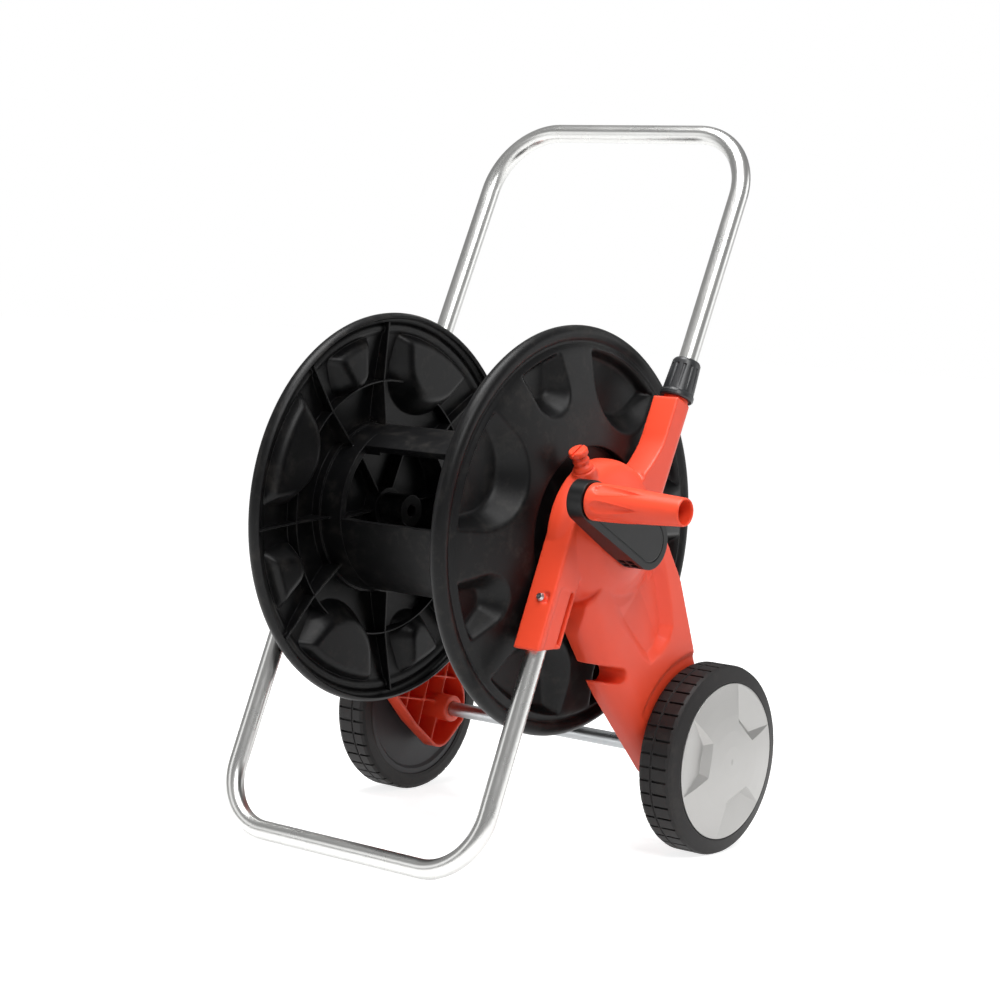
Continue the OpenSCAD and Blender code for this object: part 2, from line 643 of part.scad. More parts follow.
inlet_x = x_tube + 1.5;
spigot_in = x_rim - 17;          // inner end of the spindle, in the outlet elbow
square_w = 18;
seal_d = 3;
seal_at = 12;
window_angle = 157.5;
elbow_x = spigot_in - 14;
nipple_root = 24;
module water_spindle() {
  color(black) difference() {
    union() {
      rod(spigot_in, x_rim, 10, hub);
      rod(x_rim - 2, sleeve_in, journal_r - 3, hub);
      rod(sleeve_in - 1, x_dome + 0.5, journal_r, hub);
      rod(x_floor + slip, x_floor + 3, journal_r + 4, hub);
      spoke(180 - crank_angle) translate([-square_w / 2, -square_w / 2, x_dome]) cube([square_w, square_w, x_crank + crank_t - 5 - x_dome]);
    }
    // ring groove under the inlet, with its cross hole, and the passage to the outlet
    turned(hub) translate([journal_r - 4, inlet_x - 5]) square([6, 10]);
    rod(spigot_in - 1, inlet_x + 3, water_d / 2 - 1, hub);
    spoke(90) translate([0, -30, inlet_x]) rotate([-90, 0, 0]) cylinder(h = 60, r = 3.5, $fn = 32);
    for (m = [-1, 1]) turned(hub) translate([journal_r - seal_d, inlet_x + m * seal_at - 1.8]) square([seal_d + 2, 3.6]);
    spoke(180 - crank_angle) translate([0, 0, pin_x]) rotate([0, 90, 0]) cylinder(h = 60, r = roll_pin_r + slip, center = true, $fn = 24);
  }
}
module spindle_seals() {
  color("#1b1b1b") for (m = [-1, 1]) turned(hub) translate([journal_r - seal_d / 2 + 0.05, inlet_x + m * seal_at]) circle(r = seal_d / 2 - 0.1, $fn = 24);
}
module outlet_elbow() {
  color(red) difference() {
    union() {
      rod(elbow_x - 14, spigot_in + 10, 13.5, hub);
      spoke(window_angle) translate([0, 0, elbow_x]) rotate([-90, 0, 0]) {
        cylinder(h = nipple_root, r = 10.5);
        cylinder(h = nipple_root + outlet_len, r = outlet_d / 2);
      }
    }
    rod(spigot_in - slip, spigot_in + 11, 10 + slip, hub);
    rod(elbow_x - 8, spigot_in, water_d / 2 - 1, hub);
    spoke(window_angle) translate([0, 0, elbow_x]) rotate([-90, 0, 0]) cylinder(h = 90, r = outlet_d / 2 - 3);
  }
}
module left_journal() {
  color(black) mirror([1, 0, 0]) difference() {
    union() {
      rod(x_rim - 25, x_dome - 0.5, journal_r, hub);
      rod(x_floor + slip, x_floor + 3, journal_r + 4, hub);
    }
    rod(x_rim - 26, x_dome, water_d / 2 + 1.5, hub);
  }
}
module hub_cap_left() {
  color(black) mirror([1, 0, 0]) turned(hub) polygon([[0, x_dome + slip], [bearing_boss_r + 2, x_dome + slip],
    [bearing_boss_r + 2, x_dome + 2], [bearing_boss_r, x_dome + 3.5], [bearing_boss_r - 8, x_dome + 4.5], [0, x_dome + 4.5]]);
}

inlet_neck_top = inlet_top - 8;
inlet_seat = hub_r - 13;
module inlet_connector() {
  r = inlet_d / 2;
  color(red) inlet_space() rotate_extrude() polygon([[water_d / 2, inlet_seat + slip], [r, inlet_seat + slip], [r, hub_r + 3 + slip],
    [r + 2, hub_r + 3 + slip], [r + 2, hub_r + 5], [r + 1, hub_r + 7], [r - 1.5, hub_r + 9], [r - 1.5, inlet_neck_top - 7],
    [r, inlet_neck_top - 6], [r, inlet_neck_top - 4], [r - 1.5, inlet_neck_top - 3], [r - 1.5, inlet_neck_top], [water_d / 2, inlet_neck_top]]);
}
module inlet_gasket() {
  color("#1b1b1b") inlet_space() translate([0, 0, inlet_neck_top + 0.05]) difference() {
    cylinder(h = 1.4, r = inlet_d / 2 - 1.8);
    translate([0, 0, -1]) cylinder(h = 4, r = water_d / 2 + free);
  }
}
module inlet_plug() {
  color(red) inlet_space() difference() {
    rotate_extrude() polygon([[0, inlet_neck_top - 10], [water_d / 2 - 1, inlet_neck_top - 10], [water_d / 2 - run, inlet_neck_top - 9],
      [water_d / 2 - run, inlet_neck_top + 1.6], [inlet_d / 2 + 0.5, inlet_neck_top + 1.6], [inlet_d / 2 + 1.3, inlet_neck_top + 2.6],
      [inlet_d / 2 + 1.3, inlet_top - 1.5], [inlet_d / 2 + 0.2, inlet_top], [0, inlet_top]]);
    translate([-1.2, -30, inlet_top - 2.5]) cube([2.4, 60, 5]);
  }
}

// ---------- crank ----------

roll_pin_r = 2;
pin_x = x_crank + 8;
// Outline of a bar with round ends of radii r1 and r2, the second one d away along y
module link(r1, r2, d) {
  a = asin((r1 - r2) / d);
  polygon([for (t = [180 - a : (180 + 2 * a) / 24 : 360.01 + a]) r1 * [cos(t), sin(t)],
    for (t = [a : (180 - 2 * a) / 24 : 180.01 - a]) [0, d] + r2 * [cos(t), sin(t)]]);
}
grip_pin_r = 5;
crank_rise = 6;      // how far the arm's inner side rises from the hub to the grip
module crank_arm() {
  color(black) spoke(180 - crank_angle) difference() {
    translate([0, 0, x_crank]) union() {
      difference() {
        linear_extrude(crank_t) link(crank_hub_r, crank_end_r, crank_len);
        translate([0, 0, -1]) linear_extrude(crank_t - 3 + 1) link(crank_hub_r - 3, crank_end_r - 3, crank_len);
      }
      cylinder(h = crank_t - 1, r = 17);
      translate([0, crank_len, 0]) cylinder(h = crank_t - 1, r = 10);
      intersection() {
        translate([0, 0, 4]) linear_extrude(crank_t - 5) link(crank_hub_r - 1, crank_end_r - 1, crank_len);
        union() {
          translate([-rib_t / 2, -40, 0]) cube([rib_t, crank_len + 80, crank_t]);
          for (y = [-14 : 20 : crank_len]) translate([-50, y - rib_t / 2, 0]) cube([100, rib_t, crank_t]);
        }
      }
    }
    // the inner side rises towards the grip
    translate([-50, 34, x_crank]) rotate([atan(crank_rise / (crank_len - 34)), 0, 0]) translate([0, 0, -20]) cube([100, crank_len, 20]);
    // square hole for the spindle, seat of the grip's pin, hole of the roll pin and the line round the face
    translate([-square_w / 2 - slip, -square_w / 2 - slip, x_crank - 1]) cube([square_w + 2 * slip, square_w + 2 * slip, crank_t - 4 + slip]);
    translate([0, crank_len, x_crank - 1]) cylinder(h = crank_t + 2, r = grip_pin_r + slip);
    translate([0, 0, pin_x]) rotate([0, 90, 0]) cylinder(h = 36, r = roll_pin_r + slip, center = true, $fn = 24);
    translate([0, 0, x_grip - 0.8]) linear_extrude(2) difference() {
      link(crank_hub_r - 7, crank_end_r - 7, crank_len);
      link(crank_hub_r - 8.4, crank_end_r - 8.4, crank_len);
    }
  }
}
module crank_roll_pin() {
  color(steel) spoke(180 - crank_angle) translate([0, 0, pin_x]) rotate([0, 90, 0]) cylinder(h = 34, r = roll_pin_r, center = true, $fn = 24);
}
shoulder_at = grip_len - 38;
module grip_pin() {
  color(steel) spoke(180 - crank_angle) translate([0, crank_len, x_grip]) difference() {
    translate([0, 0, crank_rise + 1 - crank_t]) cylinder(h = crank_t - crank_rise - 1 + free + shoulder_at + 2 * slip, r = grip_pin_r);
    translate([0, 0, shoulder_at - 14]) cylinder(h = 20, r = 2, $fn = 24);
  }
}
module grip_screw() {
  color(steel) spoke(180 - crank_angle) translate([0, crank_len, x_grip + free + shoulder_at + 3 * slip]) {
    translate([0, 0, -12]) cylinder(h = 13, r = 2 - run, $fn = 24);
    difference() {
      cylinder(h = 3, r = grip_pin_r + 3);
      for (a = [0, 90]) rotate(a) translate([-4, -0.6, 1.4]) cube([8, 1.2, 4]);
    }
  }
}
grip_r = grip_d / 2;
grip_end_r = grip_end_d / 2;
module crank_grip() {
  taper = (grip_r - grip_end_r) / grip_len;
  color(red) spoke(180 - crank_angle) translate([0, crank_len, x_grip + free]) difference() {
    rotate_extrude() polygon([[0, 0], [grip_r - 2, 0], [grip_r, 2.5], for (t = [0.1 : 0.1 : 0.9])
      [grip_r - taper * grip_len * t + 1.6 * sin(180 * t), grip_len * t], [grip_end_r, grip_len - 1], [grip_end_r - 1, grip_len], [0, grip_len]]);
    translate([0, 0, -1]) cylinder(h = grip_len, r = grip_pin_r + run);
    translate([0, 0, shoulder_at]) cylinder(h = grip_len, r = grip_end_r - 1.8);
    // long shallow finger flutes
    for (k = [0 : 5]) rotate(30 + 60 * k) translate([0, grip_r + 2.6, 12]) rotate([atan(taper), 0, 0])
      rotate_extrude($fn = 32) polygon([[0, 0], for (t = [0.1 : 0.1 : 0.9]) [5 * sin(180 * pow(t, 0.6)), 66 * t], [0, 66]]);
  }
}

// ---------- wheels ----------

tyre_face = x_wheel + tyre_w;
cap_r = cap_d / 2;
rim_r = cap_r + 0.5;
wheel_hub_r = axle_r + 7;
hub_end = x_wheel + tyre_w - 6;
cap_edge = tyre_face + 4;
cap_seat = tyre_face - 14;       // the cap's skirt ends on the ribs of the wheel
module tyre() {
  difference() {
    turned(axle_at) polygon([[rim_r, x_wheel + 1], [rim_r + 4, x_wheel], [wheel_r - 5, x_wheel], [wheel_r - 1.5, x_wheel + 1.5], [wheel_r, x_wheel + 5],
      [wheel_r, tyre_face - 5], [wheel_r - 1.5, tyre_face - 1.5], [wheel_r - 5, tyre_face], [rim_r + 1.5, cap_edge - 0.5], [rim_r, cap_edge - 1]]);
    // two rows of cross grooves and the grooves between the rows
    for (k = [0 : tread_n - 1]) translate([0, axle_at[0], axle_at[1]]) rotate([k * 360 / tread_n, 0, 0]) {
      translate([x_wheel - 1, -1.2, wheel_r - tread_depth]) cube([tyre_w * 0.4, 2.4, 10]);
      translate([x_wheel + tyre_w * 0.46, -1.2, wheel_r - tread_depth]) cube([tyre_w * 0.44, 2.4, 10]);
    }
    turned(axle_at) polygon([[wheel_r - 1, x_wheel + tyre_w * 0.4], [wheel_r + 1, x_wheel + tyre_w * 0.38],
      [wheel_r + 1, x_wheel + tyre_w * 0.46], [wheel_r - 1, x_wheel + tyre_w * 0.44]]);
  }
}
module wheel_disc() {
  difference() {
    union() {
      turned(axle_at) polygon([[0, x_wheel], [wheel_hub_r, x_wheel], [wheel_hub_r + 3, x_wheel + 4], [rim_r - 9, x_wheel + 5], [rim_r - 6, x_wheel + 2],
        [rim_r - slip, x_wheel + 2], [rim_r - slip, tyre_face - 4], [rim_r - 3, tyre_face - 4], [rim_r - 4, x_wheel + 8],
        [wheel_hub_r, x_wheel + 8], [wheel_hub_r, hub_end], [0, hub_end]]);
      for (k = [0 : 7]) translate([0, axle_at[0], axle_at[1]]) rotate([k * 45, 0, 0])
        translate([x_wheel + 7, -rib_t / 2, wheel_hub_r - 1]) cube([cap_seat - slip - x_wheel - 7, rib_t, rim_r - wheel_hub_r - 1]);
    }
    rod(x_wheel - 1, hub_end + 1, axle_r + run, axle_at);
  }
}
scoop_n = 3;
scoop_in = cap_r * 0.56;         // where a scoop's floor meets its inner wall
scoop_sink = 1.7;                // how far the floor dips under the cap's edge there
// One scoop: a sloping floor between three drafted walls; x points to the rim and z outwards
module scoop_side() {
  translate([scoop_in, cap_r * 0.18, -scoop_sink]) rotate(42) rotate([-45, 0, 0])
    translate([-cap_r, -2 * cap_r, -cap_r]) cube(2 * cap_r);
}
module scoop() {
  intersection() {
    translate([scoop_in, 0, -scoop_sink]) rotate([0, -atan(2.3 / (cap_r - scoop_in)), 0])
      translate([-cap_r, -cap_r, 0]) cube(2 * cap_r);
    translate([scoop_in, 0, -scoop_sink]) rotate([0, -45, 0]) translate([0, -cap_r, -cap_r]) cube(2 * cap_r);
    scoop_side();
    mirror([0, 1, 0]) scoop_side();
  }
}
module wheel_cap() {
  under = cap_edge - 4.5;
  difference() {
    turned(axle_at) polygon([[0, cap_edge - 1.5], [axle_r + 13, cap_edge - 1.5], [axle_r + 16, under], [cap_r - 8, under],
      [cap_r - 8, cap_seat], [cap_r - 5.5, cap_seat], [cap_r - 4.5, cap_edge - 1.5], [cap_r, cap_edge - 1.5],
      for (t = [1 : -0.2 : 0]) [cap_r * t, cap_edge + cap_bulge * (1 - t * t)]]);
    for (k = [0 : scoop_n - 1]) translate([cap_edge, axle_at[0], axle_at[1]]) rotate([90, 0, 90])
      rotate(52 + k * 360 / scoop_n) scoop();
  }
}
module tyre_right() { color(black) tyre(); }
module tyre_left() { color(black) mirror([1, 0, 0]) tyre(); }
module wheel_disc_right() { color("#3a3b3e") wheel_disc(); }
module wheel_disc_left() { color("#3a3b3e") mirror([1, 0, 0]) wheel_disc(); }
module wheel_cap_right() { color(silver) wheel_cap(); }
module wheel_cap_left() { color(silver) mirror([1, 0, 0]) wheel_cap(); }

axle_end = hub_end + 3;
module axle() {
  color(silver) difference() {
    rod(-axle_end, axle_end, axle_r, axle_at);
    rod(-axle_end - 1, axle_end + 1, axle_r - 1.5, axle_at);
  }
}
module axle_washers() {
  color(steel) both_sides() difference() {
    rod(x_well + slip, x_well + slip + washer_t, axle_r + 6, axle_at);
    rod(x_well, x_wheel, axle_r + slip, axle_at);
  }
}
module axle_retainers() {
  color(steel) both_sides() difference() {
    rod(hub_end + slip, hub_end + 4.5, axle_r + 4, axle_at);
    rod(hub_end, axle_end + slip, axle_r + slip, axle_at);
  }
}

side_frame_right();
side_frame_left();
stand_loop();
stand_screws();
stand_nuts();
axle();
axle_retainers();
inlet_connector();
inlet_gasket();
inlet_plug();
collet_right();
collet_left();
hub_cap_left();
handle_loop();
handle_end_plugs();
lock_collar_right();
lock_collar_left();
flange_right();
flange_left();
drum_panel_top();
drum_panel_front();
drum_panel_rear();
drum_screws();
water_spindle();
spindle_seals();
outlet_elbow();
left_journal();
crank_arm();
crank_roll_pin();
grip_pin();
grip_screw();
crank_grip();
tyre_right();
wheel_disc_right();
wheel_cap_right();
tyre_left();
wheel_disc_left();
wheel_cap_left();
axle_washers();
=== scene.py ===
"""Garden hose reel cart: finishes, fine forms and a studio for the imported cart."""
import math

import bpy
import numpy as np
from mathutils import Matrix, Vector


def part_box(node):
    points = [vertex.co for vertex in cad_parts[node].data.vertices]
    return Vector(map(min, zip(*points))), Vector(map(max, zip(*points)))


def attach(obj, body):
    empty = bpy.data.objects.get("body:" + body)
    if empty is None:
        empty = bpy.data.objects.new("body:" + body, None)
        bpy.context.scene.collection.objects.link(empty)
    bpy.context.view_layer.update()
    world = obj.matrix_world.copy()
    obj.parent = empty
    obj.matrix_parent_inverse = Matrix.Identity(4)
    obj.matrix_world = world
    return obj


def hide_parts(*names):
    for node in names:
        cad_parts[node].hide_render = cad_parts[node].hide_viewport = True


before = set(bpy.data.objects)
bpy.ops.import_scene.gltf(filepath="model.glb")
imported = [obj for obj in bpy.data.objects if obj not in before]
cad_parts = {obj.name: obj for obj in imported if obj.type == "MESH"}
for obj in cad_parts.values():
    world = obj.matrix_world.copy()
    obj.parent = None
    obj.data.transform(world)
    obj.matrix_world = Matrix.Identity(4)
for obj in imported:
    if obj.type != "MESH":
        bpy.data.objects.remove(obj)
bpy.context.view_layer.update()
MM = 0.001

bl_info = {
    "name": "Hose Reel Cart",
    "version": (1, 0, 0),
    "blender": (4, 5, 0),
    "location": "View3D > Sidebar > Hose Cart",
    "description": "Dresses a garden hose reel cart and sets it in a studio",
    "category": "Object",
}


def linear(hex_colour):
    """A colour written as sRGB hex, as linear red, green and blue."""
    parts = [int(hex_colour[i : i + 2], 16) / 255 for i in (1, 3, 5)]
    return tuple(c / 12.92 if c <= 0.04045 else ((c + 0.055) / 1.055) ** 2.4 for c in parts)


# ---------- sizes and colours ----------


class CartSizes(bpy.types.PropertyGroup):
    flange_wall: bpy.props.FloatProperty(
        name="Flange wall", description="Wall thickness of the flanges", default=3.5 * MM, min=2 * MM, unit="LENGTH")
    pocket_turn: bpy.props.FloatProperty(
        name="Pocket turn", description="Turn of the pocket pattern about the reel's axis, in degrees", default=68.0)
    recess_radius: bpy.props.FloatProperty(
        name="Recess radius", description="Radius of the recess in the flange's face, round the side frame's hub",
        default=89 * MM, unit="LENGTH")
    drum_radius: bpy.props.FloatProperty(
        name="Drum radius", description="Radius that the hose is wound on", default=90 * MM, unit="LENGTH")
    panel_depth: bpy.props.FloatProperty(
        name="Panel depth", description="How far the legs' sunk panel goes in at its deepest",
        default=10.5 * MM, unit="LENGTH")
    panel_ramp: bpy.props.FloatProperty(
        name="Panel ramp", description="Width of the slope round the legs' sunk panel", default=10 * MM, unit="LENGTH")
    flute_turn: bpy.props.FloatProperty(
        name="Flute turn", description="Turn of the grip's flutes about its axis, in degrees", default=12.0)


class CartColours(bpy.types.PropertyGroup):
    frame_red: bpy.props.FloatVectorProperty(
        name="Frame red", description="Colour of the side frames, grip and fittings",
        subtype="COLOR", default=linear("#e8482a"))
    reel_black: bpy.props.FloatVectorProperty(
        name="Reel black", description="Colour of the flanges and the drum",
        subtype="COLOR", default=linear("#0a0a0b"))
    disc_grey: bpy.props.FloatVectorProperty(
        name="Disc grey", description="Colour of the wheels' inner discs",
        subtype="COLOR", default=linear("#3c3d3f"))
    tyre_black: bpy.props.FloatVectorProperty(
        name="Tyre black", description="Colour of the tyres",
        subtype="COLOR", default=linear("#1c1a1a"))
    tube_silver: bpy.props.FloatVectorProperty(
        name="Tube silver", description="Colour of the handle and the stand",
        subtype="COLOR", default=linear("#d0d0ce"))
    cap_silver: bpy.props.FloatVectorProperty(
        name="Cap silver", description="Colour of the wheel caps",
        subtype="COLOR", default=linear("#a9a8a6"))


# ---------- materials ----------


def new_material(name):
    """An empty material with its shader; returns (material, node tree, shader)."""
    material = bpy.data.materials.new(name)
    material.use_nodes = True
    tree = material.node_tree
    return material, tree, tree.nodes["Principled BSDF"]


def add(tree, kind, inputs=None, links=None, **settings):
    """Adds a node to the tree, with its settings, input values and links."""
    node = tree.nodes.new(kind)
    for key, value in settings.items():
        setattr(node, key, value)
    for key, value in (inputs or {}).items():
        node.inputs[key].default_value = value
    for key, socket in (links or {}).items():
        tree.links.new(socket, node.inputs[key])
    return node


def soft_normal(tree, radius_mm, height, strength, distance_mm):
    """The surface's direction with its edges rounded off as a mould leaves them, and a fine relief on top."""
    edge = add(tree, "ShaderNodeBevel", {"Radius": radius_mm * MM}, samples=6)
    return add(tree, "ShaderNodeBump", {"Strength": strength, "Distance": distance_mm * MM},
               {"Height": height, "Normal": edge.outputs["Normal"]}).outputs["Normal"]


def between(tree, factor, low, high):
    """A colour that runs from low to high with the factor."""
    mix = add(tree, "ShaderNodeMix", links={"Factor": factor}, data_type="RGBA")
    mix.inputs[6].default_value = (*low, 1)
    mix.inputs[7].default_value = (*high, 1)
    return mix.outputs[2]


def noise(tree, place, size_mm, **settings):
    """Cloudy noise with features of about the given size; returns its value socket."""
    inputs = {"Scale": 1 / (size_mm * MM), **{key.title(): value for key, value in settings.items()}}
    return add(tree, "ShaderNodeTexNoise", inputs, {"Vector": place}).outputs["Fac"]


def spread_over(tree, value, **inputs):
    """A value mapped to a new range; the inputs are from_min, from_max, to_min and to_max."""
    named = {key.replace("_", " ").title(): limit for key, limit in inputs.items()}
    return add(tree, "ShaderNodeMapRange", named, {"Value": value}).outputs["Result"]


FLOW_MM, SCUFF_MM, CLOUD_MM = 70, 22, 45
DUST = linear("#a39a90")


def moulded(name, colour, roughness, grain_mm, grain, edge_mm, dust=0.0, spread=0.06, specular=0.5):
    """Injection-moulded plastic: an even colour, a fine spark-eroded grain, slow changes of gloss from the flow of the
    melt, rounded edges, and a little pale dust and scuffing from handling."""
    material, tree, shader = new_material(name)
    place = add(tree, "ShaderNodeTexCoord").outputs["Object"]
    fine = noise(tree, place, grain_mm, detail=3.0, roughness=0.6)
    broad = noise(tree, place, FLOW_MM, detail=3.0)
    patch = noise(tree, place, SCUFF_MM, detail=6.0, roughness=0.7)
    body = between(tree, broad, [c * 0.94 for c in colour], [min(1, c * 1.05) for c in colour])
    worn = spread_over(tree, patch, from_min=0.52, from_max=0.8, to_max=dust)
    shade = add(tree, "ShaderNodeMix", links={"Factor": worn, 6: body}, data_type="RGBA")
    shade.inputs[7].default_value = (*[0.75 * c + 0.25 * d for c, d in zip(colour, DUST)], 1)
    tree.links.new(shade.outputs[2], shader.inputs["Base Color"])
    gloss = spread_over(tree, patch, to_min=roughness - spread, to_max=roughness + spread)
    tree.links.new(gloss, shader.inputs["Roughness"])
    tree.links.new(soft_normal(tree, edge_mm, fine, grain, 0.05), shader.inputs["Normal"])
    shader.inputs["Specular IOR Level"].default_value = specular
    return material


def metal(name, colour, roughness, grain_mm, edge_mm, metallic=1.0):
    """Metal with a fine finish: even colour and a cloudy change of gloss."""
    material, tree, shader = new_material(name)
    place = add(tree, "ShaderNodeTexCoord").outputs["Object"]
    fine = noise(tree, place, grain_mm, detail=4.0)
    broad = noise(tree, place, CLOUD_MM, detail=2.0)
    body = between(tree, fine, [c * 0.95 for c in colour], [min(1, c * 1.03) for c in colour])
    tree.links.new(body, shader.inputs["Base Color"])
    gloss = spread_over(tree, broad, to_min=roughness - 0.05, to_max=roughness + 0.07)
    tree.links.new(gloss, shader.inputs["Roughness"])
    tree.links.new(soft_normal(tree, edge_mm, fine, 0.12, 0.02), shader.inputs["Normal"])
    shader.inputs["Metallic"].default_value = metallic
    return material


# Each finish: what makes it, its name, its colour (one of CartColours or sRGB hex) and its settings
FINISHES = {
    # Satin polypropylene: a warm, even red with broad soft highlights
    "red": (moulded, "Moulded red polypropylene", "frame_red",
            dict(roughness=0.44, grain_mm=0.8, grain=0.22, edge_mm=2.4, specular=0.5)),
    # The same red on small parts: crisper edges and a slightly tighter shine
    "fitting": (moulded, "Moulded red fitting", "frame_red",
                dict(roughness=0.42, grain_mm=0.6, grain=0.2, edge_mm=0.7, specular=0.36)),
    # Black polypropylene: deep black, satin on the big faces, with scuffs that catch the light
    "black": (moulded, "Moulded black polypropylene", "reel_black",
              dict(roughness=0.4, grain_mm=0.9, grain=0.4, edge_mm=1.2, dust=0.2, spread=0.09, specular=0.19)),
    # Crank and end plugs: a cleaner, smoother black than the reel's
    "trim": (moulded, "Moulded black trim", "#0c0d0e",
             dict(roughness=0.36, grain_mm=0.7, grain=0.3, edge_mm=1.4, dust=0.06, specular=0.28)),
    # Glass-filled nylon of the twist locks: a dark grey, lighter than the polypropylene
    "lock": (moulded, "Moulded nylon twist lock", "#242527",
             dict(roughness=0.34, grain_mm=0.7, grain=0.3, edge_mm=1.0, dust=0.1, specular=0.45)),
    # Wheel discs: a dull mid grey that reads as a part of its own beside tyre and cap
    "grey": (moulded, "Moulded grey polypropylene", "disc_grey",
             dict(roughness=0.5, grain_mm=1.0, grain=0.3, edge_mm=1.0, specular=0.3)),
    # Soft PVC tyre: matt, with a dusty bloom
    "tyre": (moulded, "Moulded PVC tyre", "tyre_black",
             dict(roughness=0.55, grain_mm=0.6, grain=0.5, edge_mm=0.8, dust=0.2, spread=0.08, specular=0.3)),
    # Drawn tube under a satin silver lacquer: long bright streaks along the bends
    "tube": (metal, "Silver lacquered tube", "tube_silver", dict(roughness=0.27, grain_mm=0.9, edge_mm=0.5)),
    # ABS sprayed with silver paint: metallic, but with a plastic's soft edge to its highlights
    "cap": (metal, "Silver painted ABS", "cap_silver",
            dict(roughness=0.36, grain_mm=0.5, edge_mm=1.0, metallic=0.75)),
    # Zinc plated screws, pins and axle: bluish and brighter than the lacquered tube
    "zinc": (metal, "Zinc plated steel", "#b9bcbe", dict(roughness=0.28, grain_mm=1.5, edge_mm=0.3)),
    # Seal rings and gasket: dead matt black
    "seal": (moulded, "Nitrile rubber", "#161616", dict(roughness=0.55, grain_mm=0.7, grain=0.4, edge_mm=0.3)),
}
MADE = {}


def finish_for(key):
    """One of the cart's finishes, made when it is first asked for."""
    if key not in MADE:
        maker, name, colour, settings = FINISHES[key]
        shade = linear(colour) if colour[0] == "#" else tuple(getattr(bpy.context.scene.cart_colours, colour))
        MADE[key] = maker(name, shade, **settings)
    return MADE[key]


def dress(key, *nodes):
    """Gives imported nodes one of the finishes."""
    for name in nodes:
        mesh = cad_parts[name].data
        mesh.materials.clear()
        mesh.materials.append(finish_for(key))


# ---------- modelling ----------


def only(piece):
    """Selects one object and makes it active."""
    if bpy.context.mode != "OBJECT":
        bpy.ops.object.mode_set(mode="OBJECT")
    bpy.ops.object.select_all(action="DESELECT")
    piece.select_set(True)
    bpy.context.view_layer.objects.active = piece


def from_points(name, points, edges, faces=()):
    """A new object from points in millimetres."""
    mesh = bpy.data.meshes.new(name)
    mesh.from_pydata([[c * MM for c in p] for p in points], edges, faces)
    piece = bpy.data.objects.new(name, mesh)
    bpy.context.scene.collection.objects.link(piece)
    return piece


def turned(name, outline, centre, steps, ring=True):
    """Spins an outline of (distance from the axis, place along X) points, in millimetres, about a line along X
    through centre (y, z). A ring is a closed outline; otherwise it is an open line."""
    n = len(outline)
    edges = [(k, (k + 1) % n) for k in range(n if ring else n - 1)]
    piece = from_points(name, [(x, centre[0], centre[1] + r) for r, x in outline], edges)
    only(piece)
    bpy.ops.object.mode_set(mode="EDIT")
    bpy.ops.mesh.select_all(action="SELECT")
    bpy.ops.mesh.spin(steps=steps, angle=2 * math.pi, center=(0, centre[0] * MM, centre[1] * MM), axis=(1, 0, 0))
    bpy.ops.mesh.select_all(action="SELECT")
    bpy.ops.mesh.remove_doubles(threshold=0.01 * MM)
    bpy.ops.mesh.normals_make_consistent(inside=False)
    bpy.ops.object.mode_set(mode="OBJECT")
    return piece


def finish_modifiers(piece):
    """Applies a piece's modifiers in their order."""
    only(piece)
    for modifier in list(piece.modifiers):
        bpy.ops.object.modifier_apply(modifier=modifier.name)


def joined(pieces, angle=40):
    """Joins the parts of one moulding and smooths its shading."""
    only(pieces[0])
    for piece in pieces:
        piece.select_set(True)
    if len(pieces) > 1:
        bpy.ops.object.join()
    piece = bpy.context.object
    only(piece)
    bpy.ops.object.transform_apply(location=True, rotation=True, scale=True)
    bpy.ops.object.shade_smooth_by_angle(angle=math.radians(angle))
    return piece


def mirrored(piece, name):
    """A copy of a piece on the cart's other side, with its own mesh."""
    other = piece.copy()
    other.data = piece.data.copy()
    other.name = other.data.name = name
    bpy.context.scene.collection.objects.link(other)
    other.data.transform(Matrix.Diagonal((-1, 1, 1, 1)))
    other.data.flip_normals()
    return other


def seated(piece, name, nodes, body, key):
    """Names a finished piece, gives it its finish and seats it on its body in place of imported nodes."""
    piece.name = piece.data.name = name
    piece.data.materials.clear()
    piece.data.materials.append(finish_for(key))
    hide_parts(*nodes)
    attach(piece, body)


def box_of(node):
    """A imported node's lowest and highest corner, in millimetres."""
    low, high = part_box(node)
    return low / MM, high / MM


def middle_of(node):
    """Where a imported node's axis along X lies, as (y, z) in millimetres."""
    low, high = box_of(node)
    return (low.y + high.y) / 2, (low.z + high.z) / 2


def points_of(mesh):
    """A mesh's points as rows, in millimetres."""
    at = np.empty(len(mesh.vertices) * 3)
    mesh.vertices.foreach_get("co", at)
    return at.reshape(-1, 3) / MM


def set_points(mesh, at):
    """Gives a mesh its points from rows in millimetres."""
    mesh.vertices.foreach_set("co", (at * MM).ravel())
    mesh.update()


def copied(node, name):
    """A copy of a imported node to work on, with its split vertices merged."""
    piece = bpy.data.objects.new(name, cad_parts[node].data.copy())
    bpy.context.scene.collection.objects.link(piece)
    only(piece)
    bpy.ops.object.mode_set(mode="EDIT")
    bpy.ops.mesh.select_all(action="SELECT")
    bpy.ops.mesh.remove_doubles(threshold=0.01 * MM)
    bpy.ops.object.mode_set(mode="OBJECT")
    return piece


def smoothed(piece, name, rounds, group=""):
    """Adds a smoothing modifier, over the whole piece or one vertex group."""
    smooth = piece.modifiers.new(name, "SMOOTH")
    smooth.factor = 0.5
    smooth.iterations = rounds
    smooth.vertex_group = group


def smooth_min(a, b, k):
    """The lower of two heights, with the valley between them filled by a fillet about k wide."""
    h = np.clip(k - np.abs(a - b), 0, None) / k
    return np.minimum(a, b) - h * h * k / 4


# ---------- operators ----------


class CartOperator:
    """What the operators share."""
    bl_options = {"REGISTER", "UNDO"}


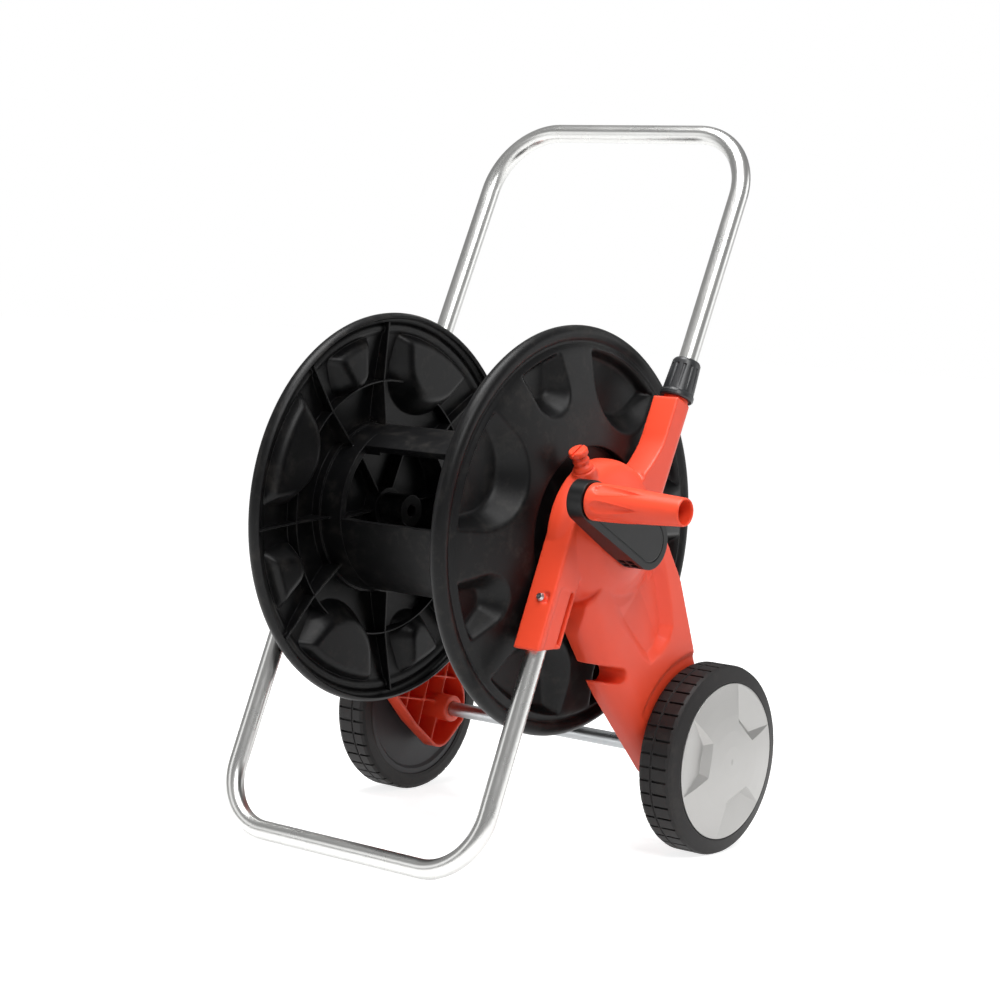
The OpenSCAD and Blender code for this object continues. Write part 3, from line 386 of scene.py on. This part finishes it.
# The leg's sunk panel as (along the leg, across it) in millimetres, from the hub towards the axle
PANEL = ((20, -50), (60, -45), (87, -39), (114, -31), (132, -26), (147, -18), (149, 2),
         (145, 20), (135, 33), (113, 41), (93, 46), (60, 52), (20, 52))
# The hub's dome stands out this far from the leg's face, and the leg's wall is this thick, in millimetres
DOME, LEG_WALL = 10.0, 3.2
# Grid of the even mesh, in millimetres, and the share of its faces that is kept
GRID_MM, KEPT = 1.3, 0.36


def sink_panel(mesh, side, outer, facing, hub, axle):
    """Sinks the panel in the leg's outer wall, with a ramp all round and its floor tilting down to the rear."""
    sizes = bpy.context.scene.cart_sizes
    at = points_of(mesh)
    x, y, z = at[:, 0] * side, at[:, 1] - hub[0], at[:, 2] - hub[1]
    run = math.dist(axle, hub)
    fore, down = (axle[0] - hub[0]) / run, (hub[1] - axle[1]) / run
    along, across = y * fore - z * down, y * down + z * fore
    inside = np.full(len(at), np.inf)
    for (u0, v0), (u1, v1) in zip(PANEL, PANEL[1:] + PANEL[:1]):
        edge = math.hypot(u1 - u0, v1 - v0)
        inside = np.minimum(inside, ((across - v0) * (u1 - u0) - (along - u0) * (v1 - v0)) / edge)
    ramp = np.clip(inside / (sizes.panel_ramp / MM), 0, 1)
    tilt, run_in = np.clip((across + 48) / 62, 0, 1), np.clip((along - 52) / 24, 0, 1)
    depth = sizes.panel_depth / MM * ramp * tilt * run_in
    face = outer - DOME
    excess = x - np.where(facing > 0, face - depth, face - LEG_WALL - depth)
    moved = (depth > 0.05) & (excess > 0) & (x > face - 14) & (x < face + 0.5) & (np.abs(facing) > 0.12)
    at[:, 0] -= np.where(moved, excess, 0) * side
    set_points(mesh, at)


def make_frame(node):
    """A side frame with the creases between its forms run into each other, as the mould's fillets leave them."""
    low, high = box_of(node)
    side = 1 if high.x > 0 else -1
    outer = max(abs(low.x), abs(high.x))
    hub, axle = middle_of("flange_right"), middle_of("axle")
    piece = copied(node, "frame copy")
    remesh = piece.modifiers.new("Even grid", "REMESH")
    remesh.mode = "VOXEL"
    remesh.voxel_size = GRID_MM * MM
    finish_modifiers(piece)

    at = points_of(piece.data)
    normals = np.empty(len(at) * 3, np.float32)
    piece.data.vertices.foreach_get("normal", normals)
    facing = normals.reshape(-1, 3)[:, 0] * side
    x, y, z = at[:, 0] * side, at[:, 1], at[:, 2]
    from_axle, from_hub = np.hypot(y - axle[0], z - axle[1]), np.hypot(y - hub[0], z - hub[1])
    leg = (facing > 0.12) & (x > outer - 34) & (from_axle > 112) & (from_hub > 44) & (from_hub < 250) & (z < 352)
    socket = (y < -28) & (z < 300)
    leg &= ~socket | ((z > 262) & (y > -52))
    group = piece.vertex_groups.new(name="Leg")
    group.add(np.flatnonzero(leg).tolist(), 1.0, "REPLACE")
    smoothed(piece, "Flow", 14, "Leg")
    finish_modifiers(piece)
    sink_panel(piece.data, side, outer, facing, hub, axle)
    smoothed(piece, "Edges", 2)
    fewer = piece.modifiers.new("Fewer faces", "DECIMATE")
    fewer.ratio = KEPT
    finish_modifiers(piece)
    piece.vertex_groups.clear()
    return joined([piece], 50)


class CART_OT_side_frames(CartOperator, bpy.types.Operator):
    """Makes the two side frames and dresses their fittings"""
    bl_idname = "cart.side_frames"
    bl_label = "Side frames"

    def execute(self, context):
        for side in ("right", "left"):
            node = "side_frame_" + side
            seated(make_frame(node), "frame_shell_" + side, [node], "frame", "red")
        dress("fitting", "inlet_connector", "inlet_plug", "collet_right", "collet_left")
        dress("black", "hub_cap_left")
        dress("zinc", "stand_screws", "stand_nuts")
        dress("seal", "inlet_gasket")
        return {"FINISHED"}


class CART_OT_tubes(CartOperator, bpy.types.Operator):
    """Dresses the handle, the stand and the twist locks"""
    bl_idname = "cart.tubes"
    bl_label = "Handle and stand"

    def execute(self, context):
        dress("tube", "handle_loop", "stand_loop")
        dress("trim", "handle_end_plugs")
        dress("lock", "lock_collar_right", "lock_collar_left")
        return {"FINISHED"}


# The flange's pockets by turns, large and small: half their angle in degrees, and how far from the axis they begin
POCKETS = ((19.2, 112.5), (9.8, 130.0))
POCKET_DRAFT = 36
# Where the drum's three panels meet the flange, in degrees, and the middle radius of the ring rib
DRUM_PANELS = (97.5, 217.5, 337.5)
RING_RIB = 137


def pocket_drop(across, along, side, tip, outer, slope, soft):
    """How far a scooped pocket sinks, before its floor, at points across and along its centre line. Its sides run
    along spokes at the given angle, its inner end is the arc that touches both, tip from the axis, and its walls
    slope."""
    r, turn = np.hypot(across, along), np.abs(np.arctan2(across, along))
    middle = tip / (1 - math.sin(side))
    flank = r * np.sin(np.clip(side - turn, -1.2, 1.2))
    arc = np.where(along < middle * math.cos(side) ** 2, middle - tip - np.hypot(across, along - middle), 200)
    d = smooth_min(np.minimum(flank, arc), (outer - r) * 1.6, 3.0)
    rolled = slope * (d + soft) ** 2 / (4 * soft)
    return np.where(d <= -soft, 0, np.where(d >= soft, slope * d, rolled))


def make_flange():
    """The crank side's flange: a domed disc with eight scooped pockets, a rolled rim, a hub ring and thin ribs."""
    sizes = bpy.context.scene.cart_sizes
    low, high = box_of("flange_right")
    centre = middle_of("flange_right")
    radius, face, rim = (high.z - low.z) / 2, high.x, low.x + 5
    wall, cup, drum = sizes.flange_wall / MM, sizes.recess_radius / MM, sizes.drum_radius / MM
    out = radius - 8

    def face_x(r):
        return rim + 15 + (face - rim - 15) * (1 - np.clip((r - cup) / (out - cup), 0, 1) ** 1.4)

    # The recess's edge, the dome, the groove inside the rim and the rolled rim
    rows = [(cup + 0.4, face - 1.2), (cup + 1.6, face - 0.2)]
    rows += [(r, float(face_x(r)) - 1.6 * max(0, (r - 180) / 12) ** 2) for r in np.arange(cup + 3.4, radius - 20, 1.9)]
    rows += [(radius - inward, rim + up) for inward, up in ((18.4, 15.3), (17.1, 14.5), (15.9, 14.2), (14.8, 14.5))]
    for a in range(128, -70, -9):
        rows.append((radius - 8.7 + 8.7 * math.cos(math.radians(a)), rim + 8.4 + 8.7 * math.sin(math.radians(a))))
    shell = turned("flange shell", rows, centre, 576, ring=False)
    slope = 1 / math.tan(math.radians(POCKET_DRAFT))

    def sunk(y, z):
        """How far the pockets sink the face at points off the reel's axis."""
        r = np.hypot(y, z)
        total = np.zeros(len(r))
        for k in range(8):
            a = math.radians(sizes.pocket_turn + 45 * k)
            along, across = y * math.cos(a) + z * math.sin(a), z * math.cos(a) - y * math.sin(a)
            half, tip = POCKETS[k % 2]
            drop = pocket_drop(across, along, math.radians(half), tip, radius - 23.5, slope, 1.7)
            drop[along < 60] = 0
            total = np.maximum(total, drop)
        depth = np.clip(face_x(r) - (rim + 6.0), 0, None)
        return np.clip(np.where(r < radius - 18, smooth_min(total, depth, 4.0), 0), 0, None)

    mesh = shell.data
    at = points_of(mesh)
    at[:, 0] -= sunk(at[:, 1] - centre[0], at[:, 2] - centre[1])
    set_points(mesh, at)
    if sum(p.normal.x for p in mesh.polygons) < 0:
        mesh.flip_normals()
    solid = shell.modifiers.new("Wall", "SOLIDIFY")
    solid.thickness = wall * MM
    solid.offset = -1
    solid.use_even_offset = False
    finish_modifiers(shell)

    floor, sleeve = face - 10, 22.0
    hub_rows = [(17.1, floor), (17.1, rim + 7), (sleeve, rim + 7), (sleeve, floor - wall), (drum - 8, floor - wall),
                (drum - 8, rim - 5), (drum, rim - 5), (drum, floor - wall), (cup + wall, floor - wall),
                (cup + wall, face - 3.4), (cup + 1.2, face - 0.2), (cup + 0.4, face - 0.6), (cup, face - 1.6),
                (cup, floor)]
    parts = [shell, turned("hub ring", hub_rows, centre, 128)]
    spoke = [(drum - 1, rim + 10), (RING_RIB, rim + 13), (radius - 9, rim + 5), (radius - 10, rim + 12),
             (170, float(face_x(170)) - 1.5), (RING_RIB, float(face_x(RING_RIB)) - 1.5), (drum + 3, face - 3)]
    for k in range(8):
        parts.append(web(math.radians(sizes.pocket_turn + 90 * (k // 2) + (27, 63)[k % 2]), centre, spoke))
    # The ring rib's top follows the shell, so that it never stands through a pocket's floor
    near, far = RING_RIB - 0.8, RING_RIB + 0.8
    ring = turned("ring rib", [(near, 0), (far, 0), (far, 1), (near, 1)], centre, 288)
    at = points_of(ring.data)
    top = face_x(RING_RIB) - sunk(at[:, 1] - centre[0], at[:, 2] - centre[1])
    at[:, 0] = np.where(at[:, 0] > 0.5, top - 1.2, np.minimum(rim + 13, top - 2.4))
    set_points(ring.data, at)
    parts.append(ring)
    gusset = [(sleeve - 1, rim + 11), (drum - 7, rim + 11), (drum - 7, floor - 1), (sleeve - 1, floor - 1)]
    for k in range(6):
        parts.append(web(math.radians(DRUM_PANELS[k // 2] + (30, 90)[k % 2]), centre, gusset))
    return joined(parts, 35)


def web(angle, centre, outline, thick=2.0):
    """A thin flat rib that stands on a spoke; the outline holds (distance from the axis, place along X)."""
    n = len(outline)
    c, s = math.cos(angle), math.sin(angle)
    points = [(x, centre[0] + r * c - t * s, centre[1] + r * s + t * c)
              for t in (-thick / 2, thick / 2) for r, x in outline]
    faces = [tuple(range(n)), tuple(range(2 * n - 1, n - 1, -1))]
    faces += [(k, k + n, (k + 1) % n + n, (k + 1) % n) for k in range(n)]
    piece = from_points("web", points, [], faces)
    only(piece)
    bpy.ops.object.mode_set(mode="EDIT")
    bpy.ops.mesh.select_all(action="SELECT")
    bpy.ops.mesh.normals_make_consistent(inside=False)
    bpy.ops.object.mode_set(mode="OBJECT")
    return piece


class CART_OT_reel(CartOperator, bpy.types.Operator):
    """Makes the flanges and dresses the drum and the water parts inside it"""
    bl_idname = "cart.reel"
    bl_label = "Reel"

    def execute(self, context):
        right = make_flange()
        left = mirrored(right, "reel_flange_left")
        seated(right, "reel_flange_right", ["flange_right"], "reel", "black")
        seated(left, "reel_flange_left", ["flange_left"], "reel", "black")
        dress("black", "drum_panel_top", "drum_panel_front", "drum_panel_rear", "water_spindle", "left_journal")
        dress("fitting", "outlet_elbow")
        dress("zinc", "drum_screws")
        dress("seal", "spindle_seals")
        return {"FINISHED"}


# Radius of the grip's outer end and the length of its flutes, in millimetres, and half their widest angle in degrees
GRIP_TIP, FLUTE_FROM, FLUTE_LONG, FLUTE_HALF = 13.6, 8, 56, 21


def make_grip():
    """The free-turning grip: a hollow tapered handle with long lens-shaped flutes and a raised line round each."""
    low, high = box_of("crank_grip")
    centre = middle_of("crank_grip")
    long, base, tip = high.x - low.x, (high.z - low.z) / 2, GRIP_TIP
    rows = [(base - 2.2, 0.0), (base - 0.9, 0.35), (base - 0.25, 1.1), (base, 2.2)]
    rows += [(base + (tip - base) * (t / 60) ** 1.25, 2.2 + (long - 3.4) * t / 60) for t in range(1, 61)]
    # The rounded end, the hollow behind it and the bore round the pin
    rows += [(tip - 0.35, long - 0.35), (tip - 0.9, long), (tip - 1.5, long - 0.15), (tip - 1.9, long - 0.7),
             (tip - 2.1, long - 3), (tip - 2.5, long - 34), (8.6, long - 36), (8.6, long - 38),
             (3.8, long - 40), (3.8, 0.0)]
    grip = turned("grip", [(r, low.x + x) for r, x in rows], centre, 240)
    at = points_of(grip.data)
    y, z = at[:, 1] - centre[0], at[:, 2] - centre[1]
    r, turn = np.hypot(y, z), np.degrees(np.arctan2(z, y))
    along = at[:, 0] - low.x
    span = np.clip((along - FLUTE_FROM) / FLUTE_LONG, 0, 1)
    half = FLUTE_HALF * np.sqrt(np.clip(np.minimum(span * 9, 1), 0, 1)) * (1 - span ** 1.6)
    off = np.abs((turn - bpy.context.scene.cart_sizes.flute_turn + 30) % 60 - 30)
    near = off / np.maximum(half, 0.01)
    inside = np.clip(1 - near ** 2, 0, 1)
    sunk = 2.1 * inside ** 0.8 * np.minimum(1, half / 9)
    lip = 0.45 * np.exp(-((near - 1.12) / 0.1) ** 2) * np.minimum(1, half / 6)
    outer = (r > base + (tip - base) * 1.02 - 0.6) & (along > 2) & (along < long - 2) & (r > tip - 0.5)
    change = np.where(outer & (span > 0) & (span < 1), lip - sunk, 0)
    at[:, 1] += y / np.maximum(r, 1e-6) * change
    at[:, 2] += z / np.maximum(r, 1e-6) * change
    set_points(grip.data, at)
    return joined([grip], 50)


# The openings in the crank's skirt: the way that wall faces in degrees and how far it lies from the reel's axis, the
# size of an opening (along X, into the wall, along it), the steps between rows and columns, and the first one's place
SKIRT_TURN, SKIRT_AT = -112, 27.0
OPENING = (8.4, 9, 7)
ROW_STEP, COLUMN_STEP = 10.2, 8.6
FIRST_ROW, FIRST_COLUMN = 6, 4.5


def make_crank():
    """The crank arm with, in the skirt under its hub end, the ribbed openings that core it out."""
    low, _ = box_of("crank_arm")
    arm = copied("crank_arm", "crank copy")
    bpy.ops.object.mode_set(mode="EDIT")
    bpy.ops.mesh.dissolve_limited(angle_limit=math.radians(0.5))
    bpy.ops.object.mode_set(mode="OBJECT")
    centre = middle_of("flange_right")
    turn = math.radians(SKIRT_TURN)
    c, s = math.cos(turn), math.sin(turn)
    cutters = []
    for row in range(2):
        for column in range(3):
            x, back = low.x + FIRST_ROW + ROW_STEP * row, FIRST_COLUMN - COLUMN_STEP * column
            at = (x, centre[0] + SKIRT_AT * c - back * s, centre[1] + SKIRT_AT * s + back * c)
            bpy.ops.object.select_all(action="DESELECT")
            bpy.ops.mesh.primitive_cube_add(size=1, location=[v * MM for v in at], rotation=(turn, 0, 0))
            cutter = bpy.context.object
            cutter.scale = [v * MM for v in OPENING]
            cutters.append(cutter)
    tool = joined(cutters)
    cut = arm.modifiers.new("Openings", "BOOLEAN")
    cut.object = tool
    cut.operation = "DIFFERENCE"
    cut.solver = "EXACT"
    finish_modifiers(arm)
    bpy.data.objects.remove(tool)
    return joined([arm], 30)


class CART_OT_crank(CartOperator, bpy.types.Operator):
    """Makes the crank arm and its grip and dresses their pins"""
    bl_idname = "cart.crank"
    bl_label = "Crank"

    def execute(self, context):
        seated(make_crank(), "crank_moulding", ["crank_arm"], "reel", "trim")
        seated(make_grip(), "grip_sleeve", ["crank_grip"], "grip", "fitting")
        dress("zinc", "crank_roll_pin", "grip_pin", "grip_screw")
        return {"FINISHED"}


class CART_OT_wheels(CartOperator, bpy.types.Operator):
    """Dresses the wheels and the axle"""
    bl_idname = "cart.wheels"
    bl_label = "Wheels"

    def execute(self, context):
        dress("tyre", "tyre_right", "tyre_left")
        dress("grey", "wheel_disc_right", "wheel_disc_left")
        dress("cap", "wheel_cap_right", "wheel_cap_left")
        dress("zinc", "axle", "axle_washers", "axle_retainers")
        return {"FINISHED"}


# Where the camera stands, in metres, how it is turned, in degrees, and its lens and film width, in millimetres
CAMERA_AT = (1.67642, -2.06126, 0.57377)
CAMERA_AZIMUTH, CAMERA_RISE, CAMERA_ROLL = 38.58, 4.65, 3.35
CAMERA_LENS, CAMERA_FILM = 91.65, 36
# Each soft lamp: its name, place and size in metres, and power in watts; all of them aim at one point
LAMPS = (
    ("Top", (-0.1, -0.4, 2.8), 1.6, 88),
    ("Right", (1.9, -1.3, 2.6), 1.3, 52),
    ("Back right", (2.3, 2.6, 1.3), 1.8, 17),
    ("Front", (-1.8, -2.4, 1.2), 1.2, 6),
)
LAMPS_AIM = (0, 0, 0.35)
# Grey of the floor as it is lit, its glow where it is seen or mirrored, and the world's light on the cart
FLOOR_GREY, FLOOR_GLOW, SKY = 0.6, 0.8, 0.34


def rays_of(tree, *kinds):
    """One for rays of either of two kinds and nought for the others."""
    rays = add(tree, "ShaderNodeLightPath")
    links = {k: rays.outputs["Is %s Ray" % kind] for k, kind in enumerate(kinds)}
    return add(tree, "ShaderNodeMath", links=links, operation="MAXIMUM").outputs[0]


def set_camera(scene):
    """Adds the camera and turns it: round the cart, up, and a little about its own view."""
    azimuth, rise, roll = (math.radians(a) for a in (CAMERA_AZIMUTH, CAMERA_RISE, CAMERA_ROLL))
    back = Vector((math.sin(azimuth) * math.cos(rise), -math.cos(azimuth) * math.cos(rise), math.sin(rise)))
    side = Vector((math.cos(azimuth), math.sin(azimuth), 0))
    up = back.cross(side)
    right = side * math.cos(roll) + up * math.sin(roll)
    above = -side * math.sin(roll) + up * math.cos(roll)
    bpy.ops.object.select_all(action="DESELECT")
    bpy.ops.object.camera_add()
    camera = bpy.context.object
    camera.name = "Camera"
    camera.data.lens = CAMERA_LENS
    camera.data.sensor_width = CAMERA_FILM
    camera.data.clip_end = 50
    turn = Matrix((right, above, back)).transposed().to_4x4()
    camera.matrix_world = Matrix.Translation(CAMERA_AT) @ turn
    scene.camera = camera


def set_floor():
    """Adds the white floor, which keeps the cart's shadow but glows white where the camera or a gloss sees it."""
    bpy.ops.mesh.primitive_plane_add(size=40)
    floor = bpy.context.object
    floor.name = "Floor"
    material, tree, shader = new_material("White studio floor")
    shader.inputs["Base Color"].default_value = (FLOOR_GREY, FLOOR_GREY, FLOOR_GREY, 1)
    shader.inputs["Roughness"].default_value = 0.9
    shader.inputs["Specular IOR Level"].default_value = 0.0
    shader.inputs["Emission Color"].default_value = (1, 1, 1, 1)
    seen = rays_of(tree, "Camera", "Glossy")
    shown = add(tree, "ShaderNodeMath", {1: FLOOR_GLOW}, {0: seen}, operation="MULTIPLY")
    tree.links.new(shown.outputs[0], shader.inputs["Emission Strength"])
    floor.data.materials.append(material)


def set_world(scene):
    """A white world, plain to the camera and dimmer as a light."""
    world = bpy.data.worlds.new("Studio")
    scene.world = world
    world.use_nodes = True
    tree = world.node_tree
    background = tree.nodes["Background"]
    background.inputs["Color"].default_value = (1, 1, 1, 1)
    seen = rays_of(tree, "Camera", "Transmission")
    tree.links.new(spread_over(tree, seen, to_min=SKY, to_max=1.0), background.inputs["Strength"])


def add_lamp(name, at, size, watts):
    """A square area lamp, aimed at the cart."""
    bpy.ops.object.light_add(type="AREA", location=at)
    lamp = bpy.context.object
    lamp.name = name
    lamp.data.size = size
    lamp.data.energy = watts
    lamp.rotation_euler = (Vector(LAMPS_AIM) - Vector(at)).to_track_quat("-Z", "Y").to_euler()


class CART_OT_stage(CartOperator, bpy.types.Operator):
    """Sets the camera, the white floor and the soft studio light"""
    bl_idname = "cart.stage"
    bl_label = "Studio"

    def execute(self, context):
        scene = context.scene
        set_camera(scene)
        set_floor()
        set_world(scene)
        for lamp in LAMPS:
            add_lamp(*lamp)
        scene.view_settings.view_transform = "Standard"
        return {"FINISHED"}


class CART_PT_panel(bpy.types.Panel):
    """Shows the cart's sizes and colours, and a button for each of its operators"""
    bl_idname = "CART_PT_panel"
    bl_label = "Hose Cart"
    bl_space_type = "VIEW_3D"
    bl_region_type = "UI"
    bl_category = "Hose Cart"

    def draw(self, context):
        column = self.layout.column()
        for group in (context.scene.cart_sizes, context.scene.cart_colours):
            for name in group.__annotations__:
                column.prop(group, name)
        for operator in OPERATORS:
            column.operator(operator.bl_idname)


OPERATORS = (CART_OT_side_frames, CART_OT_tubes, CART_OT_reel, CART_OT_crank, CART_OT_wheels, CART_OT_stage)
CLASSES = (CartSizes, CartColours, *OPERATORS, CART_PT_panel)


def register():
    for cls in CLASSES:
        bpy.utils.register_class(cls)
    bpy.types.Scene.cart_sizes = bpy.props.PointerProperty(type=CartSizes)
    bpy.types.Scene.cart_colours = bpy.props.PointerProperty(type=CartColours)


def unregister():
    del bpy.types.Scene.cart_sizes
    del bpy.types.Scene.cart_colours
    for cls in reversed(CLASSES):
        bpy.utils.unregister_class(cls)


def main():
    register()
    cart = bpy.ops.cart
    for operator in (cart.stage, cart.side_frames, cart.tubes, cart.reel, cart.crank, cart.wheels):
        operator()


if __name__ == "__main__":
    main()
